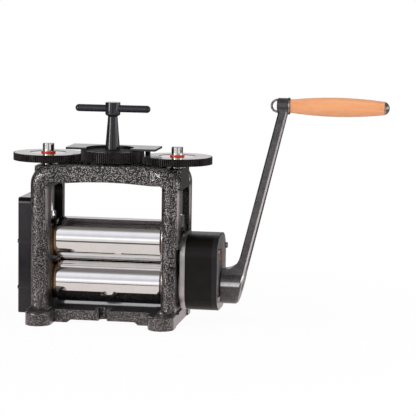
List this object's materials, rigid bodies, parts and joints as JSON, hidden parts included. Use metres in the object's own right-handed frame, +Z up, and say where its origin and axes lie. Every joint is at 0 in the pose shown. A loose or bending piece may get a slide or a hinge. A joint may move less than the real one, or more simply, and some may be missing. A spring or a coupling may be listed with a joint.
{
  "type": "jewellers rolling mill",
  "caption": "Hand-cranked flat rolling mill: two polished steel rolls in a windowed cast frame, with a geared tee-handle screw-down, a reduction gearbox and a crank with a wooden grip",
  "frame": {"origin": "on the floor, midway between the two cheeks", "axes": "+X along the rolls towards the crank, +Y to the back, +Z up"},
  "size_m": [0.567, 0.1826, 0.3447],
  "materials": {
    "frame_paint": "hammertone enamel, semi-gloss",
    "cover_paint": "charcoal enamel, satin",
    "gearbox_paint": "black enamel, satin",
    "crank_paint": "gunmetal enamel, semi-gloss",
    "handle_black": "black enamel, gloss",
    "guard_black": "black enamel, semi-gloss",
    "black_steel": "black oxide, semi-gloss",
    "ground_steel": "ground, satin",
    "spring_steel": "drawn, satin",
    "mirror_steel": "hardened steel, mirror polished",
    "machined_aluminium": "milled, satin",
    "cover_aluminium": "turned, satin",
    "bronze": "bearing bronze, turned",
    "index_red": "orange-red, gloss",
    "beech": "turned beech, oiled",
    "screw_steel": "zinc and oil, semi-gloss"
  },
  "bodies": {
    "frame": {"frame_casting": "frame_paint", "lower_bearing_block_left": "ground_steel", "lower_bearing_block_right": "ground_steel", "lower_bush_left": "bronze", "lower_bush_right": "bronze", "lifting_springs": "spring_steel", "gear_cover": "cover_paint", "gear_cover_screws": "screw_steel", "gearbox_mounting_plate": "machined_aluminium", "mounting_plate_screws": "screw_steel", "gearbox_housing": "gearbox_paint", "gearbox_end_cover": "cover_aluminium", "gearbox_screws": "screw_steel", "layshaft_bush_inner": "bronze", "layshaft_bush_outer": "bronze", "crank_shaft_bush": "bronze", "pivot_post": "black_steel", "thrust_washer": "bronze", "guard_plate": "guard_black", "guard_plate_standoffs": "black_steel", "guard_plate_screws": "screw_steel"},
    "tee_handle": {"centre_gear": "black_steel", "tee_stem": "handle_black", "tee_bar": "handle_black"},
    "upper_carriage": {"upper_bearing_block_left": "ground_steel", "upper_bearing_block_right": "ground_steel", "upper_bush_left": "bronze", "upper_bush_right": "bronze", "pressure_foot_left": "mirror_steel", "pressure_foot_right": "mirror_steel"},
    "adjuster_left": {"adjusting_screw_left": "mirror_steel", "dial_gear_left": "black_steel", "dial_hub_left": "black_steel", "index_ring_left": "index_red"},
    "adjuster_right": {"adjusting_screw_right": "mirror_steel", "dial_gear_right": "black_steel", "dial_hub_right": "black_steel", "index_ring_right": "index_red"},
    "upper_roll": {"upper_roll": "mirror_steel", "upper_roll_gear": "ground_steel", "upper_gear_circlip": "spring_steel"},
    "lower_roll": {"lower_roll": "mirror_steel", "lower_roll_gear": "ground_steel", "lower_gear_circlip": "spring_steel", "reduction_wheel": "ground_steel", "pilot_bush": "bronze"},
    "layshaft": {"layshaft": "ground_steel", "layshaft_wheel": "ground_steel", "layshaft_pinion": "ground_steel"},
    "crank": {"crank_shaft": "ground_steel", "crank_pinion": "ground_steel", "crank_arm": "crank_paint", "crank_retaining_screw": "screw_steel", "spindle_clip": "spring_steel", "grip_spindle": "ground_steel", "grip_washer": "ground_steel"},
    "grip": {"grip": "beech"}
  },
  "joints": [
    {"name": "tee_handle_turn", "type": "hinge", "parent": "frame", "child": "tee_handle", "pos_m": [0, 0, 0.2412], "axis": [0, 0, 1], "range_deg": [-1196, 1]},
    {"name": "roll_lift", "type": "slide", "parent": "frame", "child": "upper_carriage", "axis": [0, 0, 1], "range_m": [0, 0.006], "deforming": ["lifting_springs"]},
    {"name": "adjuster_left_turn", "type": "hinge", "parent": "upper_carriage", "child": "adjuster_left", "pos_m": [-0.099, 0, 0.2], "axis": [0, 0, 1], "range_deg": [-1, 1081]},
    {"name": "adjuster_right_turn", "type": "hinge", "parent": "upper_carriage", "child": "adjuster_right", "pos_m": [0.099, 0, 0.2], "axis": [0, 0, 1], "range_deg": [-1, 1081]},
    {"name": "crank_turn", "type": "hinge", "parent": "frame", "child": "crank", "pos_m": [0.17, 0, 0.05735], "axis": [1, 0, 0], "continuous": true},
    {"name": "layshaft_turn", "type": "hinge", "parent": "frame", "child": "layshaft", "pos_m": [0.14, 0, 0.10235], "axis": [1, 0, 0], "continuous": true},
    {"name": "lower_roll_turn", "type": "hinge", "parent": "frame", "child": "lower_roll", "pos_m": [0, 0, 0.05735], "axis": [1, 0, 0], "continuous": true},
    {"name": "upper_roll_turn", "type": "hinge", "parent": "upper_carriage", "child": "upper_roll", "pos_m": [0, 0, 0.12225], "axis": [1, 0, 0], "continuous": true},
    {"name": "grip_spin", "type": "hinge", "parent": "crank", "child": "grip", "pos_m": [0.338, 0, 0.3305], "axis": [1, 0, 0], "continuous": true}
  ],
  "couplings": [
    {"joint": "tee_handle_turn", "follows": "roll_lift", "rad_per_m": -3475.8},
    {"joint": "adjuster_left_turn", "follows": "roll_lift", "rad_per_m": 3141.6},
    {"joint": "adjuster_right_turn", "follows": "roll_lift", "rad_per_m": 3141.6},
    {"joint": "layshaft_turn", "follows": "crank_turn", "ratio": -0.57895},
    {"joint": "lower_roll_turn", "follows": "crank_turn", "ratio": 0.33518},
    {"joint": "upper_roll_turn", "follows": "crank_turn", "ratio": -0.33518}
  ]
}
